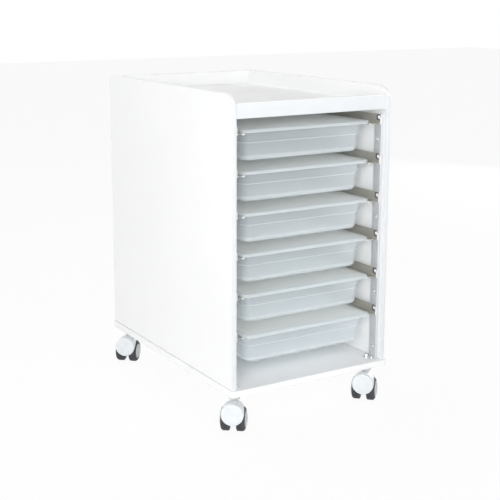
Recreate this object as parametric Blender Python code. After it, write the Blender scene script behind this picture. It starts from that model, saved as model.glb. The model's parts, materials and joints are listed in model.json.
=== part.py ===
"""Laboratory tray cart: a white board cabinet on twin-wheel casters, with lidded trays on steel runners.

Metres, +Z up, +X to the right and -Y to the front. The floor is at zero height, and the origin is on it
under the middle of the cart's bounding box.
"""
import math

import bmesh
import bpy
from mathutils import Matrix, Vector

MM = 0.001
SEAT_GAP = 0.3 * MM
MERGE_DISTANCE = 0.001 * MM

# Trays, top to bottom: how far each lid's front edge stands behind the cabinet's front
TRAY_SETBACKS = (20 * MM, 21.5 * MM, 16 * MM, 16.5 * MM, 11.5 * MM, 2.5 * MM)
TRAY_DEPTH = 67.5 * MM
TRAY_WALL = 2.5 * MM
TRAY_RIM_THICKNESS = 3 * MM
TRAY_SIDE_INSET = 8.5 * MM
TRAY_END_INSET = 17 * MM
TRAY_BODY_CORNER = 22 * MM
TRAY_BAND_HEIGHT = 22.3 * MM
TRAY_BAND_STEP = 1.5 * MM
TRAY_DRAFT = math.radians(4.5)
TRAY_FLOOR_RADIUS = 11 * MM
TRAY_HEADROOM = 19 * MM
TRAY_REAR_ROOM = 31.5 * MM

# Lids
LID_WIDTH = 340 * MM
LID_LENGTH = 545 * MM
LID_CORNER = 15 * MM
LID_THICKNESS = 2.2 * MM
LID_RISE = 3.5 * MM
LID_SKIRT_WALL = 2 * MM
LID_EDGE_ROUND = 1.5 * MM
LID_BORDER = 28 * MM
LID_RECESS = 1.8 * MM
LID_RECESS_SLOPE = 2 * MM

# Runners: an angle against the uprights, with a ledge under the lid's edge and a hook notch in its front end
RUNNER_HEIGHT = 22.5 * MM
RUNNER_SHEET = 1.6 * MM
RUNNER_SIDE_ROOM = 20.1 * MM
RUNNER_LEDGE_BEARING = 6 * MM
RUNNER_SETBACK = 14 * MM
RUNNER_REAR_GAP = 6 * MM
RUNNER_NOTCH_RISE = 11 * MM
RUNNER_NOTCH_HEIGHT = 9 * MM
RUNNER_NOTCH_DEPTH = 11 * MM
RUNNER_NOTCH_ROUND = 3 * MM
LOWEST_RUNNER_HEIGHT = 109.5 * MM
TOP_RUNNER_ROOM = 12.8 * MM

# Uprights
UPRIGHT_WIDTH = 25 * MM
UPRIGHT_DEPTH = 6 * MM
UPRIGHT_SHEET = 1.5 * MM
UPRIGHT_SETBACK = 11 * MM
REAR_UPRIGHT_SETBACK = 14 * MM
UPRIGHT_OVERRUN = 1 * MM

# Boards
PANEL_THICKNESS = 12 * MM
PANEL_CORNER = 38 * MM
BACK_THICKNESS = 12 * MM
BACK_DROP = 2 * MM
BOARD_EDGE_ROUND = 2.5 * MM
BASE_THICKNESS = 15 * MM
BASE_OVERHANG = 4.5 * MM
BASE_CORNER = 8 * MM
SHELF_THICKNESS = 12 * MM
LIP_THICKNESS = 12 * MM
LIP_HEIGHT = 33.5 * MM
LIP_RISE = 17.3 * MM
LIP_RECESS = 3 * MM
GALLERY_RISE = 19.5 * MM

# Casters, sized along the rolling direction and about the stem
CASTER_YAWS = {
    "front_left": math.radians(-38),
    "front_right": math.radians(-46),
    "rear_left": math.radians(-43),
    "rear_right": math.radians(-43),
}
CASTER_SIDE_INSET = 31.5 * MM
CASTER_END_INSET = 39.5 * MM
CASTER_TRAIL = 18 * MM
WHEEL_DIAMETER = 54.5 * MM
WHEEL_WIDTH = 19.5 * MM
WHEEL_SPACING = 16 * MM
WHEEL_EDGE_ROUND = 5 * MM
HUB_CAP_DIAMETER = 36 * MM
HUB_CAP_DOME = 3.5 * MM
AXLE_DIAMETER = 6 * MM
AXLE_GRIP = 12 * MM
AXLE_EYE_DIAMETER = 20 * MM
HOOD_RADIUS = 25 * MM
HOOD_RISE = 18.15 * MM
HOOD_FACE_THICKNESS = 2 * MM
HOOD_FACE_CHAMFER = 3.3 * MM
HOOD_FACE_CHAMFER_DEPTH = 2 * MM
HOOD_REAR = 8 * MM
HOOD_REAR_RADIUS = 17 * MM
HOOD_BULGE = 2 * MM
HOOD_REAR_SPREAD = 0.25
HOOD_BACK_ROUND = 3 * MM
WELL_CLEARANCE = 1.5 * MM
WHEEL_SIDE_GAP = 0.5 * MM
RUNNING_GAP = 0.3 * MM
BOSS_DIAMETER = 18 * MM
BOSS_RISE = 4.5 * MM
NECK_DIAMETER = 25 * MM
NECK_LENGTH = 16.5 * MM
STEM_DIAMETER = 8 * MM
STEM_SOCKET_DEPTH = 20 * MM
NUT_FLANGE_DIAMETER = 15 * MM
NUT_FLANGE_THICKNESS = 1.5 * MM
NUT_DIAMETER = 12 * MM
NUT_HEIGHT = 9 * MM
NUT_THREAD_DEPTH = 5 * MM

# Facets on the round pieces
CORNER_STEPS = 3
EDGE_STEPS = 2
ROUND_STEPS = 24
SMALL_ROUND_STEPS = 16
SMOOTH_ANGLE = math.radians(35)
FLAT_ANGLE = math.radians(1)

# Heights that follow from the sizes above
TRAY_COUNT = len(TRAY_SETBACKS)
AXLE_HEIGHT = WHEEL_DIAMETER / 2
HOOD_CENTRE = AXLE_HEIGHT + HOOD_RISE
BOSS_TOP = HOOD_CENTRE + HOOD_REAR_RADIUS + BOSS_RISE
NECK_BOTTOM = BOSS_TOP + SEAT_GAP
BASE_UNDERSIDE = NECK_BOTTOM + NECK_LENGTH + SEAT_GAP
BASE_TOP = BASE_UNDERSIDE + BASE_THICKNESS
RIM_TOP = SEAT_GAP + TRAY_RIM_THICKNESS
LID_TOP = RIM_TOP + SEAT_GAP + LID_RISE
RUNNER_PITCH = LID_TOP + TRAY_DEPTH - RIM_TOP + TRAY_HEADROOM
LOWEST_RUNNER = BASE_TOP + LOWEST_RUNNER_HEIGHT
TOP_RUNNER_TOP = LOWEST_RUNNER + (TRAY_COUNT - 1) * RUNNER_PITCH + RUNNER_HEIGHT
LIP_BOTTOM = TOP_RUNNER_TOP + TOP_RUNNER_ROOM
LIP_TOP = LIP_BOTTOM + LIP_HEIGHT
SHELF_TOP = LIP_TOP - LIP_RISE
PANEL_BOTTOM = BASE_TOP + SEAT_GAP
PANEL_TOP = LIP_TOP + GALLERY_RISE

# Distances across and along the cabinet
WEB_INNER = LID_WIDTH / 2 + RUNNER_SIDE_ROOM
WEB_OUTER = WEB_INNER + RUNNER_SHEET
UPRIGHT_INNER = WEB_OUTER + SEAT_GAP
UPRIGHT_OUTER = UPRIGHT_INNER + UPRIGHT_DEPTH
PANEL_INNER = UPRIGHT_OUTER + SEAT_GAP
PANEL_OUTER = PANEL_INNER + PANEL_THICKNESS
INSIDE_WIDTH = 2 * (PANEL_INNER - SEAT_GAP)
CABINET_DEPTH = max(TRAY_SETBACKS) + LID_LENGTH + TRAY_REAR_ROOM + BACK_THICKNESS
FRONT = -CABINET_DEPTH / 2
BACK_INNER = CABINET_DEPTH / 2 - BACK_THICKNESS
BASE_HALF_WIDTH = PANEL_OUTER + BASE_OVERHANG
BASE_HALF_DEPTH = CABINET_DEPTH / 2 + BASE_OVERHANG


def clear_scene():
    for old in list(bpy.data.objects):
        bpy.data.objects.remove(old, do_unlink=True)


def make_material(name, color, roughness, metallic=0.0):
    made = bpy.data.materials.new(name)
    made.use_nodes = True
    shader = made.node_tree.nodes["Principled BSDF"]
    shader.inputs["Base Color"].default_value = (*color, 1.0)
    shader.inputs["Roughness"].default_value = roughness
    shader.inputs["Metallic"].default_value = metallic
    return made


def to_mesh(bm, name, material, smooth=False):
    bmesh.ops.recalc_face_normals(bm, faces=bm.faces)
    mesh = bpy.data.meshes.new(name)
    bm.to_mesh(mesh)
    bm.free()
    mesh.materials.append(material)
    if smooth:
        mesh.shade_smooth()
        mesh.set_sharp_from_angle(angle=SMOOTH_ANGLE)
    return mesh


def place(name, mesh, parent, location=(0, 0, 0), rotation=(0, 0, 0)):
    made = bpy.data.objects.new(name, mesh)
    made.location = location
    made.rotation_euler = rotation
    made.parent = parent
    bpy.context.collection.objects.link(made)
    return made


def round_edges(bm, edges, radius, steps):
    bmesh.ops.bevel(bm, geom=edges, offset=radius, segments=steps, profile=0.5,
                    affect="EDGES", clamp_overlap=True)


def edges_along(bm, axis):
    found = []
    for edge in bm.edges:
        direction = (edge.verts[1].co - edge.verts[0].co).normalized()
        if abs(direction[axis]) > 0.999:
            found.append(edge)
    return found


def edges_on_faces(bm, axis, half_thickness):
    # The edges that bound a board's two broad faces
    found = []
    for edge in bm.edges:
        ends = [vert.co[axis] for vert in edge.verts]
        if all(abs(abs(end) - half_thickness) < MERGE_DISTANCE for end in ends) and ends[0] * ends[1] > 0:
            found.append(edge)
    return found


def board_shape(size, thickness_axis):
    bm = bmesh.new()
    bmesh.ops.create_cube(bm, size=1)
    bmesh.ops.scale(bm, vec=size, verts=bm.verts)
    rims = edges_on_faces(bm, thickness_axis, size[thickness_axis] / 2)
    round_edges(bm, rims, BOARD_EDGE_ROUND, EDGE_STEPS)
    return bm


def side_panel_shape():
    height = PANEL_TOP - PANEL_BOTTOM
    bm = bmesh.new()
    bmesh.ops.create_cube(bm, size=1)
    bmesh.ops.scale(bm, vec=(PANEL_THICKNESS, CABINET_DEPTH, height), verts=bm.verts)
    top_front = [edge for edge in edges_along(bm, 0)
                 if edge.verts[0].co.y < 0 and edge.verts[0].co.z > 0]
    round_edges(bm, top_front, PANEL_CORNER, 2 * CORNER_STEPS)
    round_edges(bm, edges_on_faces(bm, 0, PANEL_THICKNESS / 2), BOARD_EDGE_ROUND, EDGE_STEPS)
    return bm


def base_shape():
    bm = bmesh.new()
    bmesh.ops.create_cube(bm, size=1)
    bmesh.ops.scale(bm, vec=(2 * BASE_HALF_WIDTH, 2 * BASE_HALF_DEPTH, BASE_THICKNESS), verts=bm.verts)
    round_edges(bm, edges_along(bm, 2), BASE_CORNER, CORNER_STEPS)
    round_edges(bm, edges_on_faces(bm, 2, BASE_THICKNESS / 2), BOARD_EDGE_ROUND, EDGE_STEPS)
    return bm


def prism_shape(outline, start, end, to_space):
    # An outline drawn on a plane, extruded from start to end along the plane's normal
    bm = bmesh.new()
    verts = [bm.verts.new(to_space(across, along, start)) for across, along in outline]
    face = bm.faces.new(verts)
    extruded = bmesh.ops.extrude_face_region(bm, geom=[face])
    moved = [item for item in extruded["geom"] if isinstance(item, bmesh.types.BMVert)]
    step = Vector(to_space(0, 0, end)) - Vector(to_space(0, 0, start))
    bmesh.ops.translate(bm, vec=step, verts=moved)
    return bm


def rounded_points(half_width, half_length, radius, height):
    points = []
    for turn, (side, end) in enumerate(((1, 1), (-1, 1), (-1, -1), (1, -1))):
        for step in range(CORNER_STEPS + 1):
            angle = math.radians(90) * (turn + step / CORNER_STEPS)
            points.append((side * (half_width - radius) + radius * math.cos(angle),
                           end * (half_length - radius) + radius * math.sin(angle), height))
    return points


def ring_shape(rings):
    # A rounded rectangle, extruded from each ring to the next and closed over at the last
    bm = bmesh.new()
    verts = [bm.verts.new(point) for point in rounded_points(*rings[0])]
    bm.faces.new(verts)
    for ring in rings[1:]:
        edges = [bm.edges.get(pair) for pair in zip(verts, verts[1:] + verts[:1])]
        extruded = bmesh.ops.extrude_edge_only(bm, edges=edges)
        fresh = {item for item in extruded["geom"] if isinstance(item, bmesh.types.BMVert)}
        verts = [next(edge.other_vert(vert) for edge in vert.link_edges if edge.other_vert(vert) in fresh)
                 for vert in verts]
        for vert, point in zip(verts, rounded_points(*ring)):
            vert.co = point
    bm.faces.new(verts)
    return bm


def turned_shape(profile, steps):
    # A profile of (radius, height) points, from the axis to the axis, turned about Z
    bm = bmesh.new()
    verts = [bm.verts.new((radius, 0, height)) for radius, height in profile]
    edges = [bm.edges.new(pair) for pair in zip(verts, verts[1:])]
    bmesh.ops.spin(bm, geom=verts + edges, axis=(0, 0, 1), cent=(0, 0, 0), angle=math.tau, steps=steps,
                   use_merge=True)
    bmesh.ops.remove_doubles(bm, verts=bm.verts, dist=MERGE_DISTANCE)
    return bm


def rod_shape(radius, start, end, steps):
    # The triangles of each end become one face, so that later cuts meet no edges there
    bm = turned_shape(((0, start), (radius, start), (radius, end), (0, end)), steps)
    bmesh.ops.dissolve_limit(bm, angle_limit=FLAT_ANGLE, verts=bm.verts, edges=bm.edges)
    return bm


def along_x(bm):
    bmesh.ops.rotate(bm, verts=bm.verts, cent=(0, 0, 0), matrix=Matrix.Rotation(math.radians(90), 3, "Y"))
    return bm


def along_front(bm):
    bmesh.ops.rotate(bm, verts=bm.verts, cent=(0, 0, 0), matrix=Matrix.Rotation(math.radians(90), 3, "X"))
    return bm


def combine(mesh, tools, material):
    # The mesh after each tool, an (operation, mesh, place) triple, has cut it or joined it
    body = place("combined", mesh, None)
    helpers = []
    for operation, tool_mesh, location in tools:
        helper = place("tool", tool_mesh, None, location)
        helper.hide_render = True
        helper.display_type = "WIRE"
        modifier = body.modifiers.new(operation, "BOOLEAN")
        modifier.operation = operation
        modifier.object = helper
        helpers.append(helper)
    evaluated = body.evaluated_get(bpy.context.evaluated_depsgraph_get())
    combined = bpy.data.meshes.new_from_object(evaluated)
    for used in helpers + [body]:
        bpy.data.objects.remove(used, do_unlink=True)
    combined.materials.clear()
    combined.materials.append(material)
    combined.shade_smooth()
    combined.set_sharp_from_angle(angle=SMOOTH_ANGLE)
    return combined


def stem_places():
    places = {}
    for name in CASTER_YAWS:
        x_sign = -1 if name.endswith("left") else 1
        y_sign = -1 if name.startswith("front") else 1
        places[name] = (x_sign * (BASE_HALF_WIDTH - CASTER_SIDE_INSET),
                        y_sign * (BASE_HALF_DEPTH - CASTER_END_INSET), 0)
    return places


def add_boards(cart, white):
    hole_radius = STEM_DIAMETER / 2 + SEAT_GAP
    hole_rod = rod_shape(hole_radius, -BASE_THICKNESS, BASE_THICKNESS, SMALL_ROUND_STEPS)
    hole = to_mesh(hole_rod, "stem_hole", white)
    holes = [("DIFFERENCE", hole, place_of_stem) for place_of_stem in stem_places().values()]
    base = combine(to_mesh(base_shape(), "base_board", white), holes, white)
    place("base_board", base, cart, (0, 0, BASE_UNDERSIDE + BASE_THICKNESS / 2))

    panel = to_mesh(side_panel_shape(), "side_panel", white)
    panel_x = PANEL_INNER + PANEL_THICKNESS / 2
    panel_z = (PANEL_BOTTOM + PANEL_TOP) / 2
    place("left_side_panel", panel, cart, (-panel_x, 0, panel_z))
    place("right_side_panel", panel, cart, (panel_x, 0, panel_z))

    back_height = PANEL_TOP - BACK_DROP - PANEL_BOTTOM
    back = to_mesh(board_shape((INSIDE_WIDTH, BACK_THICKNESS, back_height), 1), "back_panel", white)
    place("back_panel", back, cart, (0, BACK_INNER + BACK_THICKNESS / 2, PANEL_BOTTOM + back_height / 2))

    lip = to_mesh(board_shape((INSIDE_WIDTH, LIP_THICKNESS, LIP_HEIGHT), 1), "front_lip", white)
    lip_front = FRONT + LIP_RECESS
    place("front_lip", lip, cart, (0, lip_front + LIP_THICKNESS / 2, (LIP_BOTTOM + LIP_TOP) / 2))

    shelf_front = lip_front + LIP_THICKNESS + SEAT_GAP
    shelf_back = BACK_INNER - SEAT_GAP
    bm = bmesh.new()
    bmesh.ops.create_cube(bm, size=1)
    bmesh.ops.scale(bm, vec=(INSIDE_WIDTH, shelf_back - shelf_front, SHELF_THICKNESS), verts=bm.verts)
    shelf = to_mesh(bm, "top_shelf", white)
    place("top_shelf", shelf, cart, (0, (shelf_front + shelf_back) / 2, SHELF_TOP - SHELF_THICKNESS / 2))


def upright_outline():
    # The channel seen from above: across from the inside to the panel, along from the front to the back
    return (
        (0, 0),
        (UPRIGHT_DEPTH, 0),
        (UPRIGHT_DEPTH, UPRIGHT_SHEET),
        (UPRIGHT_SHEET, UPRIGHT_SHEET),
        (UPRIGHT_SHEET, UPRIGHT_WIDTH - UPRIGHT_SHEET),
        (UPRIGHT_DEPTH, UPRIGHT_WIDTH - UPRIGHT_SHEET),
        (UPRIGHT_DEPTH, UPRIGHT_WIDTH),
        (0, UPRIGHT_WIDTH),
    )


def add_uprights(cart, steel):
    starts = {"front": FRONT + UPRIGHT_SETBACK, "rear": BACK_INNER - REAR_UPRIGHT_SETBACK - UPRIGHT_WIDTH}
    for side, sign in (("left", -1), ("right", 1)):
        for end, start in starts.items():
            def to_space(across, along, height, sign=sign, start=start):
                return (sign * (UPRIGHT_INNER + across), start + along, height)
            top = TOP_RUNNER_TOP + UPRIGHT_OVERRUN
            bm = prism_shape(upright_outline(), BASE_TOP + SEAT_GAP, top, to_space)
            name = f"{end}_{side}_upright"
            place(name, to_mesh(bm, name, steel), cart)


def runner_outline():
    # The section seen from the front: across from the cart's middle, up from the ledge's underside
    ledge_end = LID_WIDTH / 2 - RUNNER_LEDGE_BEARING
    return (
        (ledge_end, 0),
        (WEB_OUTER, 0),
        (WEB_OUTER, RUNNER_HEIGHT),
        (WEB_INNER, RUNNER_HEIGHT),
        (WEB_INNER, RUNNER_SHEET),
        (ledge_end, RUNNER_SHEET),
    )


def notch_shape():
    # A block through the web whose rear edges are round, centred on the web's front edge
    bm = bmesh.new()
    bmesh.ops.create_cube(bm, size=1)
    bmesh.ops.scale(bm, vec=(4 * RUNNER_SHEET, 2 * RUNNER_NOTCH_DEPTH, RUNNER_NOTCH_HEIGHT), verts=bm.verts)
    round_edges(bm, edges_along(bm, 0), RUNNER_NOTCH_ROUND, CORNER_STEPS)
    return bm


def add_runners(cart, steel):
    front = FRONT + RUNNER_SETBACK
    back = BACK_INNER - RUNNER_REAR_GAP
    notch = to_mesh(notch_shape(), "runner_notch", steel)
    notch_height = RUNNER_NOTCH_RISE + RUNNER_NOTCH_HEIGHT / 2
    for side, sign in (("left", -1), ("right", 1)):
        def to_space(across, height, along, sign=sign):
            return (sign * across, along, height)
        angle = to_mesh(prism_shape(runner_outline(), front, back, to_space), f"{side}_runner", steel)
        notch_place = (sign * (WEB_INNER + WEB_OUTER) / 2, front, notch_height)
        mesh = combine(angle, [("DIFFERENCE", notch, notch_place)], steel)
        for index in range(TRAY_COUNT):
            place(f"{side}_runner_{index + 1}", mesh, cart, (0, 0, runner_height(index)))


def runner_height(index):
    return LOWEST_RUNNER + (TRAY_COUNT - 1 - index) * RUNNER_PITCH


def tray_rings():
    # Heights count from the ledge's top; the rings run under the tray, over its rim and down inside it
    half_width = LID_WIDTH / 2
    half_length = LID_LENGTH / 2
    bottom = RIM_TOP - TRAY_DEPTH
    floor = bottom + TRAY_WALL
    band_bottom = SEAT_GAP - TRAY_BAND_HEIGHT
    rim_inset = LID_SKIRT_WALL + SEAT_GAP
    lean = math.tan(TRAY_DRAFT)
    band_inset = lean * TRAY_BAND_HEIGHT
    step_inset = band_inset + TRAY_BAND_STEP
    step_bottom = band_bottom - TRAY_BAND_STEP
    foot = bottom + TRAY_FLOOR_RADIUS
    foot_inset = step_inset + lean * (step_bottom - foot)
    inner_radius = TRAY_FLOOR_RADIUS - TRAY_WALL

    def rim(height):
        return (half_width - rim_inset, half_length - rim_inset, LID_CORNER - rim_inset, height)

    def body(inset, height, inward=0):
        # Going inward, to the inner wall or round a fillet, also tightens the corner
        return (half_width - TRAY_SIDE_INSET - inset - inward, half_length - TRAY_END_INSET - inset - inward,
                TRAY_BODY_CORNER - inward, height)

    under = [body(foot_inset, foot - TRAY_FLOOR_RADIUS * math.sin(angle),
                  TRAY_FLOOR_RADIUS * (1 - math.cos(angle)))
             for angle in (math.radians(90), math.radians(45), 0)]
    over = [body(foot_inset, floor + inner_radius * (1 - math.sin(angle)),
                 TRAY_WALL + inner_radius * (1 - math.cos(angle)))
            for angle in (0, math.radians(45), math.radians(90))]
    return (
        *under,
        body(step_inset, step_bottom),
        body(band_inset, band_bottom),
        body(0, SEAT_GAP),
        rim(SEAT_GAP),
        rim(RIM_TOP),
        body(0, RIM_TOP, TRAY_WALL),
        body(band_inset, band_bottom, TRAY_WALL),
        body(step_inset, step_bottom, TRAY_WALL),
        *over,
    )


def lid_rings():
    # Heights count from the ledge's top; the rings run from the recess outwards and back underneath
    half_width = LID_WIDTH / 2
    half_length = LID_LENGTH / 2
    recess_edge = LID_BORDER + LID_RECESS_SLOPE
    under_border = RIM_TOP + SEAT_GAP
    under_recess = LID_TOP - LID_RECESS - LID_THICKNESS

    def ring(inset, height):
        return (half_width - inset, half_length - inset, max(LID_CORNER - inset, LID_RECESS_SLOPE), height)

    return (
        ring(recess_edge, LID_TOP - LID_RECESS),
        ring(LID_BORDER, LID_TOP),
        ring(LID_EDGE_ROUND, LID_TOP),
        ring(0, LID_TOP - LID_EDGE_ROUND),
        ring(0, SEAT_GAP),
        ring(LID_SKIRT_WALL, SEAT_GAP),
        ring(LID_SKIRT_WALL, under_border),
        ring(LID_BORDER, under_border),
        ring(recess_edge, under_recess),
    )


def add_trays(cart, tray_plastic, lid_plastic):
    tray = to_mesh(ring_shape(tray_rings()), "tray", tray_plastic, smooth=True)
    lid = to_mesh(ring_shape(lid_rings()), "lid", lid_plastic, smooth=True)
    for index, setback in enumerate(TRAY_SETBACKS):
        seat = (0, FRONT + setback + LID_LENGTH / 2, runner_height(index) + RUNNER_SHEET)
        place(f"tray_{index + 1}", tray, cart, seat)
        place(f"lid_{index + 1}", lid, cart, seat)


def stem_profile():
    radius = STEM_DIAMETER / 2
    neck = NECK_DIAMETER / 2
    top = BASE_TOP + SEAT_GAP + NUT_THREAD_DEPTH - SEAT_GAP
    return (
        (0, BOSS_TOP - STEM_SOCKET_DEPTH + SEAT_GAP),
        (radius, BOSS_TOP - STEM_SOCKET_DEPTH + SEAT_GAP),
        (radius, NECK_BOTTOM),
        (neck, NECK_BOTTOM),
        (neck, BASE_UNDERSIDE - SEAT_GAP),
        (radius, BASE_UNDERSIDE - SEAT_GAP),
        (radius, top),
        (0, top),
    )


def nut_profile():
    # Heights count from the base board's top; a flanged cap nut with a blind thread
    bottom = SEAT_GAP
    shoulder = NUT_HEIGHT - NUT_DIAMETER / 2
    thread = STEM_DIAMETER / 2 + SEAT_GAP
    dome = [(NUT_DIAMETER / 2 * math.cos(angle), shoulder + NUT_DIAMETER / 2 * math.sin(angle))
            for angle in (0, math.radians(30), math.radians(60))]
    return (
        (0, bottom + NUT_THREAD_DEPTH),
        (thread, bottom + NUT_THREAD_DEPTH),
        (thread, bottom),
        (NUT_FLANGE_DIAMETER / 2, bottom),
        (NUT_FLANGE_DIAMETER / 2, bottom + NUT_FLANGE_THICKNESS),
        (NUT_DIAMETER / 2, bottom + NUT_FLANGE_THICKNESS),
        *dome,
        (0, NUT_HEIGHT),
    )


def wheel_profile():
    # Heights count outwards from the wheel's inner face; the outer edge is rounded, and the hub cap is domed
    radius = WHEEL_DIAMETER / 2
    cap = HUB_CAP_DIAMETER / 2
    bore = AXLE_DIAMETER / 2 + RUNNING_GAP
    inner_round = WHEEL_EDGE_ROUND / 2
    return (
        (0, AXLE_GRIP + RUNNING_GAP),
        (bore, AXLE_GRIP + RUNNING_GAP),
        (bore, 0),
        (radius - inner_round, 0),
        (radius, inner_round),
        (radius, WHEEL_WIDTH - 1.5 * WHEEL_EDGE_ROUND),
        (radius - WHEEL_EDGE_ROUND / 2, WHEEL_WIDTH - WHEEL_EDGE_ROUND / 2),
        (radius - 1.5 * WHEEL_EDGE_ROUND, WHEEL_WIDTH),
        (cap, WHEEL_WIDTH),
        (0.7 * cap, WHEEL_WIDTH + 0.7 * HUB_CAP_DOME),
        (0, WHEEL_WIDTH + HUB_CAP_DOME),
    )


def hood_mesh(white):
    # A drum that grows to its front face and spreads sideways to its rear, cut for the wheels, axle and stem
    web_half = WHEEL_SPACING / 2 - WHEEL_SIDE_GAP
    face = CASTER_TRAIL + WHEEL_DIAMETER / 2 + WELL_CLEARANCE + HOOD_FACE_THICKNESS
    drum = turned_shape((
        (0, -HOOD_REAR),
        (HOOD_REAR_RADIUS - HOOD_BACK_ROUND, -HOOD_REAR),
        (HOOD_REAR_RADIUS - 0.3 * HOOD_BACK_ROUND, 0.3 * HOOD_BACK_ROUND - HOOD_REAR),
        (HOOD_REAR_RADIUS, HOOD_BACK_ROUND - HOOD_REAR),
        ((HOOD_REAR_RADIUS + HOOD_RADIUS) / 2 + HOOD_BULGE, (face - HOOD_REAR) / 2),
        (HOOD_RADIUS, face - HOOD_FACE_CHAMFER_DEPTH),
        (HOOD_RADIUS - HOOD_FACE_CHAMFER, face),
        (0, face),
    ), ROUND_STEPS)
    bmesh.ops.translate(along_front(drum), vec=(0, 0, HOOD_CENTRE), verts=drum.verts)
    for vert in drum.verts:
        rear_share = (face + vert.co.y) / (face + HOOD_REAR)
        vert.co.x *= 1 + HOOD_REAR_SPREAD * rear_share
    well_radius = WHEEL_DIAMETER / 2 + WELL_CLEARANCE
    well = to_mesh(along_x(rod_shape(well_radius, 0, 2 * HOOD_RADIUS, ROUND_STEPS)), "well", white)
    axle_place = (-CASTER_TRAIL) * Vector((0, 1, 0)) + Vector((0, 0, AXLE_HEIGHT))
    axle_eye = along_x(rod_shape(AXLE_EYE_DIAMETER / 2, -HOOD_RADIUS, HOOD_RADIUS, ROUND_STEPS))
    bore_radius = AXLE_DIAMETER / 2 + RUNNING_GAP
    axle_bore = along_x(rod_shape(bore_radius, -HOOD_RADIUS, HOOD_RADIUS, SMALL_ROUND_STEPS))
    boss = rod_shape(BOSS_DIAMETER / 2, HOOD_CENTRE, BOSS_TOP, ROUND_STEPS)
    socket = rod_shape(STEM_DIAMETER / 2 + RUNNING_GAP, BOSS_TOP - STEM_SOCKET_DEPTH, BOSS_TOP + NECK_LENGTH,
                       SMALL_ROUND_STEPS)
    return combine(to_mesh(drum, "hood", white), (
        ("UNION", to_mesh(boss, "boss", white), (0, 0, 0)),
        ("UNION", to_mesh(axle_eye, "axle_eye", white), axle_place),
        ("DIFFERENCE", well, axle_place + Vector((web_half, 0, 0))),
        ("DIFFERENCE", well, axle_place - Vector((web_half + 2 * HOOD_RADIUS, 0, 0))),
        ("DIFFERENCE", to_mesh(axle_bore, "axle_bore", white), axle_place),
        ("DIFFERENCE", to_mesh(socket, "socket", white), (0, 0, 0)),
    ), white)


def add_casters(cart, white, steel, tyre):
    stem = to_mesh(turned_shape(stem_profile(), SMALL_ROUND_STEPS), "stem", steel, smooth=True)
    nut = to_mesh(turned_shape(nut_profile(), SMALL_ROUND_STEPS), "nut", steel, smooth=True)
    hood = hood_mesh(white)
    axle_half = WHEEL_SPACING / 2 + AXLE_GRIP
    axle_rod = along_x(rod_shape(AXLE_DIAMETER / 2, -axle_half, axle_half, SMALL_ROUND_STEPS))
    axle = to_mesh(axle_rod, "axle", steel, smooth=True)
    wheel = to_mesh(along_x(turned_shape(wheel_profile(), ROUND_STEPS)), "wheel", tyre, smooth=True)
    for name, location in stem_places().items():
        place(f"{name}_stem", stem, cart, location)
        place(f"{name}_stem_nut", nut, cart, Vector(location) + Vector((0, 0, BASE_TOP)))
        swivel = place(f"{name}_swivel", None, cart, location, (0, 0, CASTER_YAWS[name]))
        place(f"{name}_caster_hood", hood, swivel)
        place(f"{name}_axle", axle, swivel, (0, -CASTER_TRAIL, AXLE_HEIGHT))
        for side, sign, turn in (("left", -1, math.radians(180)), ("right", 1, 0)):
            hub = (sign * WHEEL_SPACING / 2, -CASTER_TRAIL, AXLE_HEIGHT)
            place(f"{name}_{side}_wheel", wheel, swivel, hub, (0, 0, turn))


def centre_on_origin(cart):
    # The caster hoods reach past the base on two sides, so the cart moves to bring its box over the origin
    bpy.context.view_layer.update()
    corners = [piece.matrix_world @ vert.co for piece in bpy.data.objects if piece.type == "MESH"
               for vert in piece.data.vertices]
    for axis in (0, 1):
        values = [corner[axis] for corner in corners]
        cart.location[axis] = -(min(values) + max(values)) / 2


def main():
    clear_scene()
    white = make_material("white_board", (0.86, 0.87, 0.88), 0.45)
    upright_steel = make_material("upright_steel", (0.60, 0.61, 0.62), 0.35, 1.0)
    runner_steel = make_material("runner_steel", (0.20, 0.20, 0.18), 0.45, 0.8)
    tray_plastic = make_material("tray_plastic", (0.70, 0.74, 0.76), 0.40)
    lid_plastic = make_material("lid_plastic", (0.74, 0.76, 0.76), 0.35)
    caster_white = make_material("caster_white", (0.85, 0.88, 0.90), 0.35)
    bright_steel = make_material("bright_steel", (0.70, 0.70, 0.72), 0.20, 1.0)
    tyre_rubber = make_material("tyre_rubber", (0.035, 0.038, 0.045), 0.60)

    cart = place("cart", None, None)
    add_boards(cart, white)
    add_uprights(cart, upright_steel)
    add_runners(cart, runner_steel)
    add_trays(cart, tray_plastic, lid_plastic)
    add_casters(cart, caster_white, bright_steel, tyre_rubber)
    centre_on_origin(cart)


main()
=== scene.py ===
import json
import math

import bmesh
import bpy
from mathutils import Matrix, Vector


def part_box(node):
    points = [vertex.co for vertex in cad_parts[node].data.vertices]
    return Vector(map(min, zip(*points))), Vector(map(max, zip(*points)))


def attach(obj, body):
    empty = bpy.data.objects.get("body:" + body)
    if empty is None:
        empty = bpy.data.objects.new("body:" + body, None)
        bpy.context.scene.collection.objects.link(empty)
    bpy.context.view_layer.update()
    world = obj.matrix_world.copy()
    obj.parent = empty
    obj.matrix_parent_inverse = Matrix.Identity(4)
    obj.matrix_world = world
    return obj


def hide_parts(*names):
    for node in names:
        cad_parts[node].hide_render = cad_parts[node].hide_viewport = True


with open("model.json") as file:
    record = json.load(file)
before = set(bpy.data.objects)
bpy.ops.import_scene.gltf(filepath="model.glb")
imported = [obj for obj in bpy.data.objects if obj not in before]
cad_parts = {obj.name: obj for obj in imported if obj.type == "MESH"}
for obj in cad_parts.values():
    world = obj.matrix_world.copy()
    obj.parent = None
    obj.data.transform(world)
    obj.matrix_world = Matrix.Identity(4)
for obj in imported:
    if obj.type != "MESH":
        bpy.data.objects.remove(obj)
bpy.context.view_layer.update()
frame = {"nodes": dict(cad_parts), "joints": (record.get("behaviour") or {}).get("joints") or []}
mm = 0.001
near = 0.001 * mm  # places closer than this are the same
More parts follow.
